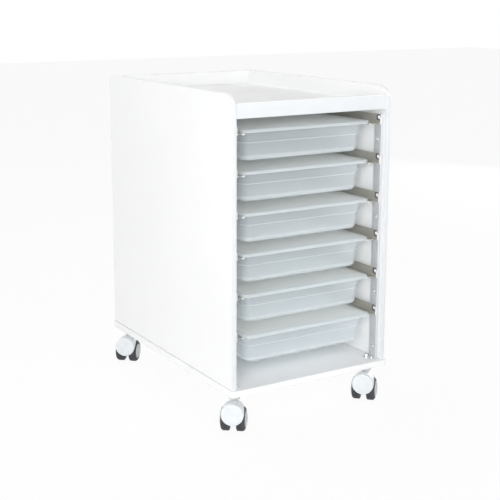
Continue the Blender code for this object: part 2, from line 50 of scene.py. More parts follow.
sides = {"left": -1, "right": 1}
ends = ("front", "rear")
corners = [f"{end}_{side}" for end in ends for side in sides]
trayCount = 6


# one socket of a material, with the sums written on it as plain Python
class Wire:
    def __init__(self, tree, socket=None):
        self.tree = tree
        self.socket = socket

    def make(self, kind, settings, links, out=0):
        node = self.tree.nodes.new(kind)
        for name, value in settings.items():
            setattr(node, name, value)
        for name, value in links.items():
            if isinstance(value, Wire):
                self.tree.links.new(value.socket, node.inputs[name])
            else:
                node.inputs[name].default_value = value
        return Wire(self.tree, node.outputs[out])

    def sum(self, operation, *values):
        return self.make("ShaderNodeMath", {"operation": operation}, dict(enumerate(values)))

    def __add__(self, other):
        return self.sum("ADD", self, other)

    __radd__ = __add__

    def __mul__(self, other):
        return self.sum("MULTIPLY", self, other)

    __rmul__ = __mul__


def opaque(color):
    return (*color, 1)


# a milky plastic spreads a share of the light that passes through it
def makeMilky(tree, color, share):
    start = Wire(tree)
    plain = Wire(tree, tree.nodes["Principled BSDF"].outputs[0])
    through = start.make("ShaderNodeBsdfTranslucent", {}, {"Color": opaque(color)})
    mix = start.make("ShaderNodeMixShader", {}, {0: share, 1: plain, 2: through})
    tree.links.new(mix.socket, tree.nodes["Material Output"].inputs["Surface"])


# a new material: the look names the shader's fixed values, paint(start, where, look) returns what varies
def finish(name, look, paint):
    made = bpy.data.materials.new(name)
    made.use_nodes = True
    tree = made.node_tree
    shader = tree.nodes["Principled BSDF"]
    for socket, value in look.get("fixed", {}).items():
        shader.inputs[socket].default_value = value
    start = Wire(tree)
    where = start.make("ShaderNodeTexCoord", {}, {}, "Object")
    for socket, wire in paint(start, where, look).items():
        tree.links.new(wire.socket, shader.inputs[socket])
    if "milk" in look:
        makeMilky(tree, look["light"], look["milk"])
    return made


def stretched(start, where, scale):
    return start.make("ShaderNodeMapping", {}, {"Vector": where, "Scale": scale})


def noise(start, where, scale, detail, rough=0.5):
    return start.make("ShaderNodeTexNoise", {},
                      {"Vector": where, "Scale": scale, "Detail": detail, "Roughness": rough}, "Fac")


# sockets 6, 7 and 2 are the mix node's two colours and its colour result
def between(start, mask, low, high):
    return start.make("ShaderNodeMix", {"data_type": "RGBA"}, {0: mask, 6: low, 7: high}, 2)


def spread(start, mask, source, target):
    return start.make("ShaderNodeMapRange", {}, {"Value": mask, "From Min": source[0], "From Max": source[1],
                                                 "To Min": target[0], "To Max": target[1]})


def bump(start, height, strength, distance):
    return start.make("ShaderNodeBump", {}, {"Height": height, "Strength": strength, "Distance": distance})


# a noise keeps near its middle, so a part of its range is spread over all of a look's range
noiseCore = (0.35, 0.65)
noiseSpan = (0.3, 0.7)


def tint(start, mask, look):
    return between(start, spread(start, mask, noiseCore, (0, 1)), opaque(look["dark"]), opaque(look["light"]))


# clouds colour a surface, and a fine noise, where the look has one, roughens and raises it
def mottled(start, where, look):
    place = stretched(start, where, look["stretch"]) if "stretch" in look else where
    clouds = noise(start, place, *look["clouds"])
    varied = {"Base Color": tint(start, clouds, look)}
    mix = clouds
    if "fine" in look:
        fine = noise(start, where, *look["fine"])
        mix = clouds * (1 - look["fineShare"]) + fine * look["fineShare"]
        varied["Normal"] = bump(start, fine, *look["relief"])
    varied["Roughness"] = spread(start, mix, look["span"], look["rough"])
    return varied


# steel with a drawn-out grain
def brushed(start, where, look):
    masks = {"grain": noise(start, stretched(start, where, look["stretch"]), *look["grain"]),
             "clouds": noise(start, where, *look["clouds"])}
    share = look["grainShare"]
    return {
        "Base Color": tint(start, masks["grain"] * share + masks["clouds"] * (1 - share), look),
        "Roughness": spread(start, masks[look["roughBy"]], noiseSpan, look["rough"]),
        "Normal": bump(start, masks["grain"], *look["relief"]),
    }


# a tray is paler and less clear at its foot, where the plastic is thicker and light from below is painted in,
# and along its step, a painted highlight
def trayPaint(start, where, look):
    varied = mottled(start, where, look)
    rise = start.make("ShaderNodeAttribute", {"attribute_name": "rise"}, {}, "Fac")  # share of its height
    foot = spread(start, rise, look["foot"], look["footShare"])
    line = start.sum("COMPARE", rise, *look["line"])
    # painted light from below and thicker plastic at the foot, a painted highlight along the step
    thick = start.sum("MAXIMUM", foot, line * look["lineShare"])
    varied["Base Color"] = between(start, thick, varied["Base Color"], opaque(look["pale"]))
    varied["Alpha"] = spread(start, thick, (0, 1), look["clear"])
    return varied


# clouds, fine and grain are a noise's scale, detail and roughness; relief is a bump's strength and depth
moulded = {"fineShare": 0.5, "span": noiseCore}
boardLook = {"light": (0.95, 0.952, 0.955), "dark": (0.935, 0.938, 0.942), "clouds": (9, 4, 0.55),
             "fine": (1500, 1), "fineShare": 0.4, "span": noiseSpan, "rough": (0.38, 0.47),
             "relief": (0.25, 0.05 * mm)}
# the board's white made darker, painted shade for faces that the front lamps light more strongly
shadedWhiteLook = {"light": (0.76, 0.782, 0.80), "dark": (0.745, 0.767, 0.785), "clouds": (30, 3, 0.6),
            "span": noiseSpan, "rough": (0.28, 0.36)}
uprightLook = {"light": (0.72, 0.73, 0.75), "dark": (0.63, 0.64, 0.66), "stretch": (2600, 2600, 14),
               "grain": (1, 3, 0.6), "clouds": (22, 3), "grainShare": 0.6, "roughBy": "grain",
               "rough": (0.3, 0.46), "relief": (0.15, 0.04 * mm), "fixed": {"Metallic": 0.35}}
runnerLook = {"light": (0.50, 0.488, 0.442), "dark": (0.42, 0.41, 0.37), "stretch": (2400, 9, 2400),
              "grain": (1, 3, 0.6), "clouds": (30, 4, 0.6), "grainShare": 0.5, "roughBy": "clouds",
              "rough": (0.34, 0.5), "relief": (0.15, 0.04 * mm), "fixed": {"Metallic": 0.3}}
trayLook = {**moulded, "light": (0.905, 0.955, 0.99), "dark": (0.885, 0.935, 0.97), "stretch": (14, 14, 40),
            "clouds": (1, 3), "fine": (1100, 1), "rough": (0.34, 0.44), "relief": (0.12, 0.05 * mm),
            "pale": (0.95, 0.97, 0.98), "foot": (0.03, 0.2), "footShare": (0.5, 0), "line": (0.596, 0.019),
            "lineShare": 0.2, "clear": (0.21, 0.8), "milk": 0.11, "fixed": {"Specular IOR Level": 0.6}}
lidLook = {**moulded, "light": (0.98, 0.972, 0.95), "dark": (0.965, 0.957, 0.935), "stretch": (10, 5, 10),
           "clouds": (1, 3), "fine": (900, 1), "rough": (0.11, 0.17), "relief": (0.08, 0.04 * mm),
           "milk": 0.58, "fixed": {"Alpha": 0.24, "Specular IOR Level": 0.9}}
bandLook = {**lidLook, "light": (0.88, 0.905, 0.915), "dark": (0.86, 0.885, 0.895), "milk": 0.48,
            "fixed": {"Alpha": 0.4, "Specular IOR Level": 0.9}}
hoodLook = {**moulded, "light": (0.81, 0.845, 0.87), "dark": (0.77, 0.805, 0.83), "clouds": (60, 3),
            "fine": (1400, 1), "rough": (0.26, 0.36), "relief": (0.1, 0.04 * mm),
            "fixed": {"Coat Weight": 0.2}}
tyreLook = {**moulded, "light": (0.05, 0.053, 0.06), "dark": (0.032, 0.034, 0.039), "clouds": (70, 4, 0.6),
            "fine": (1800, 1), "rough": (0.5, 0.68), "relief": (0.3, 0.08 * mm)}
hubLook = {**moulded, "light": (0.60, 0.61, 0.62), "dark": (0.54, 0.55, 0.56), "clouds": (80, 3),
           "fine": (1500, 1), "rough": (0.34, 0.44), "relief": (0.12, 0.05 * mm)}
brightLook = {"light": (0.86, 0.87, 0.88), "dark": (0.76, 0.77, 0.78), "clouds": (160, 4, 0.6),
              "span": noiseSpan, "rough": (0.16, 0.28), "fixed": {"Metallic": 0.7}}
neckLook = {"light": (0.66, 0.68, 0.70), "dark": (0.58, 0.595, 0.61), "clouds": (120, 4, 0.6),
            "span": noiseSpan, "rough": (0.3, 0.42), "fixed": {"Metallic": 0.25}}
# the painted shadow round the runners' notches
notchShadowLook = {"light": (0.09, 0.095, 0.105), "dark": (0.06, 0.064, 0.07), "clouds": (200, 3),
           "span": noiseSpan, "rough": (0.4, 0.55)}
boardWhite = finish("boardWhite", boardLook, mottled)
edgeWhite = finish("edgeWhite", shadedWhiteLook, mottled)
uprightSteel = finish("uprightSteel", uprightLook, brushed)
runnerSteel = finish("runnerSteel", runnerLook, brushed)
trayPlastic = finish("trayPlastic", trayLook, trayPaint)
lidPlastic = finish("lidPlastic", lidLook, mottled)
lidBand = finish("lidBand", bandLook, mottled)
hoodWhite = finish("hoodWhite", hoodLook, mottled)
tyreRubber = finish("tyreRubber", tyreLook, mottled)
hubPlastic = finish("hubPlastic", hubLook, mottled)
brightMetal = finish("brightMetal", brightLook, mottled)
neckGrey = finish("neckGrey", neckLook, mottled)
rimDark = finish("rimDark", notchShadowLook, mottled)
print("materials made:", len(bpy.data.materials))

quarter = math.radians(90)
smoothAngle = math.radians(32)
parallel = 0.999  # the least cosine between an edge and its axis


# a finished piece: outward faces, smooth where the turn is slight, riding on its body
def addPiece(name, bm, materials, body, node=None):
    bmesh.ops.remove_doubles(bm, verts=bm.verts, dist=near)
    bmesh.ops.recalc_face_normals(bm, faces=bm.faces)
    mesh = bpy.data.meshes.new(name)
    bm.to_mesh(mesh)
    bm.free()
    for material in materials:
        mesh.materials.append(material)
    mesh.shade_smooth()
    mesh.set_sharp_from_angle(angle=smoothAngle)
    piece = bpy.data.objects.new(name, mesh)
    bpy.context.collection.objects.link(piece)
    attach(piece, body)
    if node:
        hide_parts(node)


def boxOf(node):
    return [Vector(point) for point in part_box(node)]


# a side piece's faces towards the cart's middle and away from it
def wallFaces(low, high, side):
    return (low.x, high.x) if side > 0 else (high.x, low.x)


def roundEdges(bm, edges, radius, segments):
    bmesh.ops.bevel(bm, geom=edges, offset=radius, segments=segments, profile=0.5, affect="EDGES",
                    material=-1, clamp_overlap=True)


def lengthwise(bm, axis):
    return [edge for edge in bm.edges
            if abs(getattr((edge.verts[1].co - edge.verts[0].co).normalized(), axis)) > parallel]


# the edges along an axis that lie at a given x, y or z
def edgesAt(bm, axis, **place):
    return [edge for edge in lengthwise(bm, axis)
            if all(abs(getattr(edge.verts[0].co, name) - value) < near for name, value in place.items())]


# a box between two opposite corners
def block(one, other):
    low = Vector([min(pair) for pair in zip(one, other)])
    high = Vector([max(pair) for pair in zip(one, other)])
    bm = bmesh.new()
    bmesh.ops.create_cube(bm, size=1)
    bmesh.ops.scale(bm, vec=high - low, verts=bm.verts)
    bmesh.ops.translate(bm, vec=(low + high) / 2, verts=bm.verts)
    return bm


# an outline of (radius, height) points, turned about the z axis
def turned(outline, steps):
    bm = bmesh.new()
    verts = [bm.verts.new((radius, 0, height)) for radius, height in outline]
    edges = [bm.edges.new(pair) for pair in zip(verts, verts[1:])]
    bmesh.ops.spin(bm, geom=verts + edges, axis=(0, 0, 1), cent=(0, 0, 0), angle=math.tau, steps=steps,
                   use_merge=True)
    bmesh.ops.remove_doubles(bm, verts=bm.verts, dist=near)
    return bm


# outline points given in mm, inwards from a radius and up from a height, or down where up is -1
def stepped(radius, height, points, up=1):
    return [(radius - inset * mm, height + up * rise * mm) for inset, rise in points]


# the angles of a quarter turn, in equal steps
def arc(count):
    return [quarter * step / count for step in range(count + 1)]


def moved(bm, matrix):
    bmesh.ops.transform(bm, matrix=matrix, verts=bm.verts)
    return bm


# boards; those between the side panels reach over the gap to their neighbours, with sharp ends
boards = {"edge": 2.5 * mm, "edgeSteps": 5, "baseCorner": 8 * mm, "baseSteps": 8, "panelCorner": 38 * mm,
          "panelSteps": 20, "gap": 0.3 * mm, "broad": 0.9, "upward": 0.4, "backward": 0.3}
thickAxis = {"base_board": "z", "left_side_panel": "x", "right_side_panel": "x", "back_panel": "y",
             "top_shelf": "z", "front_lip": "y"}
reaches = {"back_panel": (boards["gap"], 0, 0), "top_shelf": (boards["gap"], boards["gap"], 0),
           "front_lip": (boards["gap"], 0, 0)}


def broadEdges(bm, axis):
    places = [getattr(vert.co, axis) for vert in bm.verts]
    low, high = min(places), max(places)
    found = []
    for edge in bm.edges:
        start, end = (getattr(vert.co, axis) for vert in edge.verts)
        if abs(start - end) < near and min(abs(start - low), abs(start - high)) < near:
            found.append(edge)
    return found


for node, axis in thickAxis.items():
    low, high = boxOf(node)
    reach = Vector(reaches.get(node, (0, 0, 0)))
    bm = block(low - reach, high + reach)
    if node == "base_board":
        roundEdges(bm, lengthwise(bm, "z"), boards["baseCorner"], boards["baseSteps"])
    if node.endswith("side_panel"):
        roundEdges(bm, edgesAt(bm, "x", y=low.y, z=high.z), boards["panelCorner"], boards["panelSteps"])
    if node != "top_shelf":
        along = lengthwise(bm, "x")
        free = [edge for edge in broadEdges(bm, axis) if node not in reaches or edge in along]
        roundEdges(bm, free, boards["edge"], boards["edgeSteps"])
    bm.normal_update()
    # narrow faces take the darker white, painted shade against the stronger front light, apart from those
    # that turn up or back
    for face in bm.faces:
        broad = abs(getattr(face.normal, axis)) > boards["broad"] and node != "front_lip"
        away = face.normal.z > boards["upward"] or face.normal.y > boards["backward"]
        face.material_index = 0 if broad or away or node == "base_board" else 1
    addPiece(node + "_piece", bm, (boardWhite, edgeWhite), "cabinet", node)
print("boards made")


# Boolean tools, (operation, bmesh) pairs, worked on a shape one after the other
def worked(bm, tools):
    helpers = []
    for operation, shape in [("", bm)] + tools:
        bmesh.ops.recalc_face_normals(shape, faces=shape.faces)
        helper = bpy.data.objects.new("helper", bpy.data.meshes.new("helper"))
        bpy.context.collection.objects.link(helper)
        shape.to_mesh(helper.data)
        shape.free()
        if operation:
            step = helpers[0].modifiers.new(operation, "BOOLEAN")
            step.operation = operation
            step.object = helper
        helpers.append(helper)
    graph = bpy.context.evaluated_depsgraph_get()
    result = bpy.data.meshes.new_from_object(helpers[0].evaluated_get(graph))
    for helper in helpers:
        bpy.data.objects.remove(helper, do_unlink=True)
    return result


def fromMesh(mesh, matrix):
    bm = bmesh.new()
    bm.from_mesh(mesh)
    return moved(bm, matrix)


# an outline drawn out from start to end; fix turns its two numbers and a length into a point
def prism(outline, fix, start, end):
    bm = bmesh.new()
    face = bm.faces.new([bm.verts.new(fix(across, along, start)) for across, along in outline])
    grown = bmesh.ops.extrude_face_region(bm, geom=[face])["geom"]
    step = Vector(fix(0, 0, end)) - Vector(fix(0, 0, start))
    bmesh.ops.translate(bm, vec=step, verts=[item for item in grown if isinstance(item, bmesh.types.BMVert)])
    bmesh.ops.recalc_face_normals(bm, faces=bm.faces)
    return bm


# a pan-head screw on the z axis with a cross in its top; its outline is in shares of its radii and rise
screw = {"top": ((0, 1), (0.5, 0.99), (1, 0.95)), "flank": ((0.78, 0.84), (0.94, 0.5), (1, 0)), "root": 0.4,
         "steps": 32, "crossTop": 0.9, "crossReach": 0.75, "crossTurn": 12, "flankFrom": 0.84}


def screwShape(head, rise, flat, depth):
    outline = [(flat * across, rise * up) for across, up in screw["top"]]
    outline += [(head * across, rise * up) for across, up in screw["flank"]]
    bm = turned(outline + [(0, -rise * screw["root"])], screw["steps"])
    cross = []
    for vert in bm.verts:
        turn = math.degrees(math.atan2(vert.co.y, vert.co.x)) % 90
        away = vert.co.xy.length
        inCross = away < near or min(turn, 90 - turn) < screw["crossTurn"]
        if vert.co.z > rise * screw["crossTop"] and away < flat * screw["crossReach"] and inCross:
            cross.append(vert)
    bmesh.ops.translate(bm, vec=(0, 0, -depth), verts=cross)
    # the flank takes a darker grey than the top, painted shade round the head
    for face in bm.faces:
        face.material_index = 1 if face.calc_center_median().xy.length > head * screw["flankFrom"] else 0
    return bm


# the turn that points a piece's z axis from a side's wall to the cart's middle
def inward(side):
    return Matrix.Rotation(-side * quarter, 4, "Y")


# uprights, their screws and the tabs at the front ones' feet
upright = {"sheet": 1.5 * mm, "fold": 0.7 * mm, "foldSteps": 4,
           "screwHeights": (126.7 * mm, 263.7 * mm, 443.8 * mm, 624.4 * mm),
           "screw": (4.6 * mm, 2.2 * mm, 2.6 * mm, 0.9 * mm)}  # head, rise, flat, depth
foot = {"reach": 10.5 * mm, "wide": 13 * mm, "sheet": 1.2 * mm, "corner": 3 * mm, "cornerSteps": 5,
        "edge": 0.25 * mm, "edgeSteps": 2, "shift": 3 * mm, "cap": 3.7 * mm, "capRise": 3.6 * mm,
        "capIn": 4.4 * mm, "brim": 0.5 * mm, "domeUp": 0.8 * mm, "domeEdge": 0.93, "dome": 0.86,
        "domeSteps": 6, "steps": 40}


def uprightShape(low, high, side):
    inner, outer = wallFaces(low, high, side)
    wide, deep, sheet = high.y - low.y, abs(outer - inner), upright["sheet"]
    outline = ((0, 0), (deep, 0), (deep, sheet), (sheet, sheet), (sheet, wide - sheet), (deep, wide - sheet),
               (deep, wide), (0, wide))
    bm = prism(outline, lambda across, along, up: (inner + side * across, low.y + along, up), low.z, high.z)
    roundEdges(bm, edgesAt(bm, "z", x=inner), upright["fold"], upright["foldSteps"])
    return bm


def footTab(inner, middle, bottom, side):
    far = inner - side * foot["reach"]
    half = foot["wide"] / 2
    bm = block((inner, middle - half, bottom), (far, middle + half, bottom + foot["sheet"]))
    roundEdges(bm, edgesAt(bm, "z", x=far), foot["corner"], foot["cornerSteps"])
    upper = [edge for edge in bm.edges if all(vert.co.z > bottom + near for vert in edge.verts)]
    roundEdges(bm, upper, foot["edge"], foot["edgeSteps"])
    return bm


def footCap():
    cap, up = foot["cap"], foot["domeUp"]
    dome = [(cap * foot["dome"] * math.cos(turn), up + (foot["capRise"] - up) * math.sin(turn))
            for turn in arc(foot["domeSteps"])]
    return turned([(0, 0), (cap, 0), (cap, foot["brim"]), (cap * foot["domeEdge"], up)] + dome, foot["steps"])


for corner in corners:
    side = sides[corner.split("_")[1]]
    node = corner + "_upright"
    low, high = boxOf(node)
    inner = wallFaces(low, high, side)[0]
    middle = (low.y + high.y) / 2
    bm = uprightShape(low, high, side)
    addPiece(node + "_piece", bm, (uprightSteel,), "cabinet", node)
    for count, height in enumerate(upright["screwHeights"], 1):
        bm = screwShape(*upright["screw"])
        moved(bm, Matrix.Translation((inner, middle, height)) @ inward(side))
        addPiece(f"{node}_screw_{count}", bm, (brightMetal, neckGrey), "cabinet")
    if corner.startswith("front"):
        middle -= foot["shift"]
        bm = footTab(inner, middle, low.z, side)
        addPiece(corner + "_foot_tab", bm, (uprightSteel,), "cabinet")
        place = (inner - side * foot["capIn"], middle, low.z + foot["sheet"])
        bm = moved(footCap(), Matrix.Translation(place))
        addPiece(corner + "_foot_cap", bm, (brightMetal,), "cabinet")
print("uprights made")


# runners: a folded angle that hooks over a pin on the front upright and is screwed to the rear one
runner = {"sheet": 1.6 * mm, "fold": 2.4 * mm, "foldSteps": 5, "tip": 4 * mm, "tipSteps": 6,
          "notchUp": 15.5 * mm, "notchTall": 10 * mm, "notchDeep": 9.5 * mm, "notchRound": 4 * mm,
          "notchSteps": 6, "ledgeBack": 8 * mm, "shadowWide": 2 * mm, "shadowProud": 0.7 * mm, "shadowIn": 0.2 * mm,
          "shadowRoom": 60 * mm, "screwUp": 13 * mm, "screw": (3.2 * mm, 1.6 * mm, 1.9 * mm, 0.7 * mm)}
# a pin's outline is (share of its radius, height)
pin = {"radius": 3.6 * mm, "back": 3.6 * mm, "up": 15.6 * mm, "steps": 32,
       "outline": ((0, 0), (0.6, 0), (0.6, 1.1 * mm), (0.9, 1.2 * mm), (1, 1.5 * mm), (1, 2.2 * mm),
                   (0.85, 2.8 * mm), (0.5, 3.2 * mm), (0, 3.4 * mm))}
pinTab = {"thick": 1.4 * mm, "wide": 3.2 * mm, "tall": 16 * mm, "edge": 0.5 * mm, "edgeSteps": 3}
# white caps on the ledges' front tips are a painted highlight for the glint there
glintCap = {"wide": 6 * mm, "deep": 6 * mm, "tall": 3.8 * mm, "inset": 2 * mm, "out": 1.2 * mm,
          "rise": 0.1 * mm, "edge": 1.3 * mm, "edgeSteps": 4}


# the notch is open to the front; more makes it larger all round
def notchShape(low, across, half, more):
    at = Vector((across, low.y, low.z + runner["notchUp"]))
    size = Vector((half, runner["notchDeep"] + more, runner["notchTall"] / 2 + more))
    bm = block(at - size, at + size)
    roundEdges(bm, lengthwise(bm, "x"), runner["notchRound"] + more, runner["notchSteps"])
    return bm


def runnerShape(low, high, side):
    inner, outer = wallFaces(low, high, side)
    deep, tall, sheet, fold = abs(outer - inner), high.z - low.z, runner["sheet"], runner["fold"]
    outline = ((0, 0), (deep, 0), (deep, tall), (deep - sheet, tall), (deep - sheet, sheet), (0, sheet))
    bm = prism(outline, lambda across, up, along: (inner + side * across, along, low.z + up), low.y, high.y)
    roundEdges(bm, edgesAt(bm, "z", x=inner), runner["tip"], runner["tipSteps"])
    for across, up, radius in ((deep, 0, fold), (deep - sheet, sheet, fold - sheet)):
        bend = edgesAt(bm, "y", x=inner + side * across, z=low.z + up)
        roundEdges(bm, bend, radius, runner["foldSteps"])
    ledge = block((inner - side * sheet, low.y - sheet, low.z - sheet),
                  (outer - side * 2 * fold, low.y + runner["ledgeBack"], low.z + 2 * sheet))
    notch = notchShape(low, outer - side * sheet / 2, 2 * sheet, 0)
    return worked(bm, [("DIFFERENCE", notch), ("DIFFERENCE", ledge)])


# a dark ring on the inner face of the web, round the notch, painted shadow of the notch's edge and gap
def notchShadowShape(low, high, side):
    face = wallFaces(low, high, side)[1] - side * runner["sheet"]
    proud, room = runner["shadowProud"], runner["shadowRoom"]
    front = block((face - room, low.y - room, low.z - room),
                  (face + room, low.y + runner["shadowIn"], high.z + room))
    return worked(notchShape(low, face, proud, runner["shadowWide"]),
                  [("DIFFERENCE", notchShape(low, face, 3 * proud, 0)), ("DIFFERENCE", front)])


def pinShape():
    return turned([(share * pin["radius"], height) for share, height in pin["outline"]], pin["steps"])


def pinTabShape(face, front, top, side):
    bm = block((face, front, top - pinTab["tall"]),
               (face - side * pinTab["thick"], front + pinTab["wide"], top))
    roundEdges(bm, bm.edges[:], pinTab["edge"], pinTab["edgeSteps"])
    return bm


def glintCapShape(inner, low, side):
    start = inner + side * glintCap["inset"]
    front = low.y + runner["ledgeBack"] - glintCap["out"]
    top = low.z + runner["sheet"] + glintCap["rise"]
    bm = block((start, front, top - glintCap["tall"]),
               (start + side * glintCap["wide"], front + glintCap["deep"], top))
    roundEdges(bm, bm.edges[:], glintCap["edge"], glintCap["edgeSteps"])
    return bm


for name, side in sides.items():
    firstLow, firstHigh = boxOf(f"{name}_runner_1")
    shape, rim = runnerShape(firstLow, firstHigh, side), notchShadowShape(firstLow, firstHigh, side)
    frontLow, frontHigh = boxOf(f"front_{name}_upright")
    frontFace = wallFaces(frontLow, frontHigh, side)[0]
    rearLow, rearHigh = boxOf(f"rear_{name}_upright")
    for count in range(1, trayCount + 1):
        node = f"{name}_runner_{count}"
        low, high = boxOf(node)
        inner, outer = wallFaces(low, high, side)
        drop = Matrix.Translation((0, 0, low.z - firstLow.z))
        addPiece(node + "_piece", fromMesh(shape, drop), (runnerSteel,), "cabinet", node)
        # a dark ring of painted shadow round the notch
        addPiece(node + "_notch_rim", fromMesh(rim, drop), (rimDark,), "cabinet")
        pinTop = low.z + pin["up"]
        bm = moved(pinShape(), Matrix.Translation((frontFace, low.y + pin["back"], pinTop)) @ inward(side))
        # the pin takes the board's white, a painted highlight on its head
        addPiece(node + "_pin", bm, (boardWhite,), "cabinet")
        bm = pinTabShape(frontFace, frontLow.y, pinTop, side)
        addPiece(node + "_pin_tab", bm, (boardWhite,), "cabinet")
        # the cap is a painted highlight at the ledge's tip
        addPiece(node + "_tip_cap", glintCapShape(inner, low, side), (edgeWhite,), "cabinet")
        place = (outer - side * runner["sheet"], (rearLow.y + rearHigh.y) / 2, low.z + runner["screwUp"])
        bm = moved(screwShape(*runner["screw"]), Matrix.Translation(place) @ inward(side))
        addPiece(node + "_rear_screw", bm, (brightMetal, neckGrey), "cabinet")
print("runners made")


# a rounded ring, grown ring by ring: each ring is (half width, half length, corner radius, height)
def firstRing(bm, ring, steps):
    wide, long, radius, height = ring
    bmesh.ops.create_grid(bm, x_segments=1, y_segments=1, size=1)
    bmesh.ops.scale(bm, vec=(wide, long, 1), verts=bm.verts)
    bmesh.ops.translate(bm, vec=(0, 0, height), verts=bm.verts)
    bmesh.ops.bevel(bm, geom=bm.verts[:], offset=radius, offset_type="OFFSET", segments=steps, profile=0.5,
                    affect="VERTICES", material=-1)
    return bm.edges[:]


def growRing(bm, edges, old, new):
    grown = bmesh.ops.extrude_edge_only(bm, edges=edges)["geom"]
    verts = {item for item in grown if isinstance(item, bmesh.types.BMVert)}
    share = new[2] / old[2]
    for sideX in (-1, 1):
        for sideY in (-1, 1):
            corner = [vert for vert in verts if vert.co.x * sideX > 0 and vert.co.y * sideY > 0]
            centre = Vector((sideX * (old[0] - old[2]), sideY * (old[1] - old[2]), old[3]))
            target = Vector((sideX * (new[0] - new[2]), sideY * (new[1] - new[2]), new[3]))
            bmesh.ops.scale(bm, vec=(share, share, 1), verts=corner, space=Matrix.Translation(-centre))
            bmesh.ops.translate(bm, vec=target - centre, verts=corner)
    return [item for item in grown if isinstance(item, bmesh.types.BMEdge) and set(item.verts) <= verts]


def ringShape(rings, steps):
    bm = bmesh.new()
    edges = firstRing(bm, rings[0], steps)
    for old, new in zip(rings, rings[1:]):
        edges = growRing(bm, edges, old, new)
    bmesh.ops.edgeloop_fill(bm, edges=edges)
    return bm


# trays: floor, leaning walls with a stepped band, and a rim that the lid grips
tray = {"wall": 2.5 * mm, "sideInset": 8.5 * mm, "endInset": 17 * mm, "corner": 22 * mm, "lidCorner": 15 * mm,
        "rimInset": 2.3 * mm, "rim": 3 * mm, "band": 22 * mm, "step": 1.5 * mm,
        "lean": math.tan(math.radians(4.5)), "floorRound": 11 * mm, "floorSteps": 6, "rimRound": 0.8 * mm,
        "rimSteps": 3, "foot": 0.6 * mm, "footInset": 9 * mm, "crease": 0.3 * mm, "creaseTall": 0.4 * mm,
        "neckLean": 0.25 * mm, "neckTall": 0.9 * mm, "flare": 0.5 * mm, "mouthRound": 0.5 * mm,
        "mouthLean": 0.1 * mm, "mouthTall": 0.8 * mm, "cornerSteps": 10}


def trayRings(wide, long, low, high):
    side = tray["sideInset"] - tray["rimInset"]
    end = tray["endInset"] - tray["rimInset"]
    wall, crease, soft, floorRound = tray["wall"], tray["crease"], tray["rimRound"], tray["floorRound"]
    rimUnder = high - tray["rim"]
    bandLow = rimUnder - tray["band"]
    stepLow = bandLow - tray["step"]
    footHigh = low + floorRound
    bandLean = tray["lean"] * tray["band"]
    stepLean = bandLean + tray["step"]
    footLean = stepLean + tray["lean"] * (stepLow - footHigh)
    innerRound = floorRound - wall
    rimCorner = tray["lidCorner"] - tray["rimInset"]

    def body(lean, height, inset=0.0):
        return (wide - side - lean - inset, long - end - lean - inset, tray["corner"] - inset, height)

    def rim(inset, height):
        return (wide - inset, long - inset, rimCorner - inset, height)

    footWide, footLong, footCorner = body(footLean, low, floorRound)[:3]
    rings = [(footWide - inset, footLong - inset, footCorner, height) for inset, height in
             ((tray["footInset"], low + tray["foot"]), (tray["footInset"] - tray["foot"], low))]
    rings += [body(footLean, footHigh - floorRound * math.cos(turn), floorRound * (1 - math.sin(turn)))
              for turn in arc(tray["floorSteps"])]
    rings += [body(stepLean, stepLow), body(stepLean - crease, stepLow + tray["creaseTall"]),
              body(bandLean + crease, bandLow - crease), body(bandLean, bandLow + crease),
              body(tray["neckLean"], rimUnder - tray["neckTall"]), body(-tray["flare"], rimUnder)]
    turns = arc(tray["rimSteps"])
    rings += [rim(soft * (1 - math.sin(turn)), rimUnder + soft * (1 - math.cos(turn))) for turn in turns]
    rings += [rim(soft * (1 - math.cos(turn)), high - soft * (1 - math.sin(turn))) for turn in turns]
    rings += [body(0.0, high, wall - tray["mouthRound"]),
              body(tray["mouthLean"], high - tray["mouthTall"], wall),
              body(bandLean, bandLow, wall), body(stepLean, stepLow, wall)]
    rings += [body(footLean, low + wall + innerRound * (1 - math.sin(turn)),
                   wall + innerRound * (1 - math.cos(turn))) for turn in arc(tray["floorSteps"])]
    return rings


# lids: a flat border round a shallow recess, with a skirt that hangs over the tray's rim
lid = {"thick": 2.2 * mm, "skirt": 2 * mm, "edge": 1.5 * mm, "edgeSteps": 4, "border": 28 * mm,
       "recess": 1.8 * mm, "slope": 2 * mm, "corner": 15 * mm, "leastCorner": 4 * mm, "under": 3.5 * mm,
       "bandSide": 8.5 * mm, "bandEnd": 16 * mm, "bandDrop": 0.4 * mm, "lineUp": 2.5 * mm,
       "lineTall": 0.9 * mm, "lineDeep": 0.7 * mm, "lineSlope": 0.2 * mm, "soft": 0.5 * mm,
       "floorSoft": 0.15 * mm, "borderSoft": 0.3 * mm, "hem": 0.4 * mm, "hemTall": 0.5 * mm}


